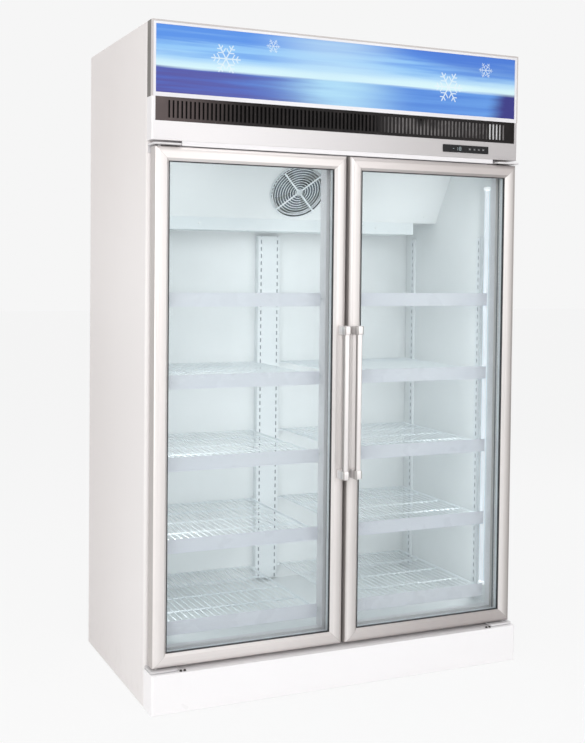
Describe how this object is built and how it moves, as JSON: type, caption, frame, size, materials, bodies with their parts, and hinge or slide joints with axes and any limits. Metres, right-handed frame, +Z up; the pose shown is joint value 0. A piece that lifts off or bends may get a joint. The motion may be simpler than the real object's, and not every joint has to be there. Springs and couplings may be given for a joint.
{
  "type": "upright glass door freezer",
  "caption": "Upright display freezer with paired hinged glass doors, lightbox, vent grille, shelves and its machine on top.",
  "frame": {"origin": "on the floor under the middle of the whole freezer", "axes": "+X to the right seen from the front, +Y to the back, +Z up; the doors face -Y"},
  "size_m": [1.25, 0.763, 2],
  "materials": {
    "side_paint": "satin off-white paint",
    "plated_sheet": "galvanised sheet",
    "foam": "rigid foam",
    "liner_paint": "satin cool white paint",
    "frame_paint": "satin white paint",
    "black_frame": "satin black paint",
    "white_paint": "gloss white paint",
    "snap_frame": "white anodised",
    "light_panel": "printed and backlit",
    "lamp": "lit diffuser",
    "black_gloss": "gloss black",
    "fascia_silver": "metallic paint",
    "key": "moulded",
    "compressor_black": "black paint",
    "rubber": "moulded",
    "fins": "bare fins",
    "fan_plastic": "moulded",
    "motor_steel": "laminated steel",
    "box_plastic": "moulded",
    "copper": "drawn tube",
    "wire_paint": "coated white",
    "strip_plastic": "extruded",
    "hinge_steel": "zinc plated",
    "door_aluminium": "satin champagne anodised",
    "handle_aluminium": "satin anodised",
    "glass": "clear, sealed unit"
  },
  "bodies": {
    "cabinet": {"back_panel": "plated_sheet", "base_frame": "black_frame", "centre_mullion": "liner_paint", "compressor": "compressor_black", "compressor_mounts": "rubber", "condenser": "fins", "condenser_shroud": "plated_sheet", "controller": "black_gloss", "drip_tray": "liner_paint", "electrical_box": "box_plastic", "evaporator_coil": "fins", "evaporator_cover": "liner_paint", "fan_guard": "wire_paint", "fan_motors": "motor_steel", "fascia_panel": "fascia_silver", "front_frame": "frame_paint", "hinge_brackets": "hinge_steel", "insulation": "foam", "kick_panel": "white_paint", "led_lamps": "lamp", "levelling_feet": "black_frame", "lightbox_frame": "snap_frame", "lightbox_graphic": "light_panel", "lightbox_housing": "frame_paint", "lightbox_lamps": "lamp", "liner_panels": "liner_paint", "machine_deck": "plated_sheet", "price_strips": "strip_plastic", "rear_grille": "plated_sheet", "refrigerant_line": "copper", "shelf_clips": "wire_paint", "shelf_left_1": "wire_paint", "shelf_left_2": "wire_paint", "shelf_left_3": "wire_paint", "shelf_left_4": "wire_paint", "shelf_left_5": "wire_paint", "shelf_right_1": "wire_paint", "shelf_right_2": "wire_paint", "shelf_right_3": "wire_paint", "shelf_right_4": "wire_paint", "shelf_right_5": "wire_paint", "shelf_standards": "wire_paint", "side_panel_left": "side_paint", "side_panel_right": "side_paint", "top_cover": "plated_sheet", "vent_grille": "black_gloss"},
    "door_left": {"door_left_frame": "door_aluminium", "door_left_glass": "glass", "door_left_seals": "rubber", "door_left_handle": "handle_aluminium"},
    "door_right": {"door_right_frame": "door_aluminium", "door_right_glass": "glass", "door_right_seals": "rubber", "door_right_handle": "handle_aluminium"},
    "evaporator_fan": {"evaporator_fan": "fan_plastic"},
    "condenser_fan": {"condenser_fan": "fan_plastic"},
    "key_set": {"button_set": "key"},
    "key_defrost": {"button_defrost": "key"},
    "key_up": {"button_up": "key"},
    "key_down": {"button_down": "key"}
  },
  "joints": [
    {"name": "door_left_hinge", "type": "hinge", "parent": "cabinet", "child": "door_left", "pos_m": [-0.6, -0.3125, 0.8845], "axis": [0, 0, -1], "range_deg": [0, 110]},
    {"name": "door_right_hinge", "type": "hinge", "parent": "cabinet", "child": "door_right", "pos_m": [0.6, -0.3125, 0.8845], "axis": [0, 0, 1], "range_deg": [0, 110]},
    {"name": "evaporator_fan_spin", "type": "hinge", "parent": "cabinet", "child": "evaporator_fan", "pos_m": [0, 0.07735, 1.57204], "axis": [0, -0.845, -0.5348], "continuous": true},
    {"name": "condenser_fan_spin", "type": "hinge", "parent": "cabinet", "child": "condenser_fan", "pos_m": [0.11, -0.088, 1.827], "axis": [0, -1, 0], "continuous": true},
    {"name": "key_set_press", "type": "slide", "parent": "cabinet", "child": "key_set", "axis": [0, 1, 0], "range_m": [0, 0.0012], "stiffness_N_per_m": 400, "springref_m": -0.001},
    {"name": "key_defrost_press", "type": "slide", "parent": "cabinet", "child": "key_defrost", "axis": [0, 1, 0], "range_m": [0, 0.0012], "stiffness_N_per_m": 400, "springref_m": -0.001},
    {"name": "key_up_press", "type": "slide", "parent": "cabinet", "child": "key_up", "axis": [0, 1, 0], "range_m": [0, 0.0012], "stiffness_N_per_m": 400, "springref_m": -0.001},
    {"name": "key_down_press", "type": "slide", "parent": "cabinet", "child": "key_down", "axis": [0, 1, 0], "range_m": [0, 0.0012], "stiffness_N_per_m": 400, "springref_m": -0.001}
  ]
}
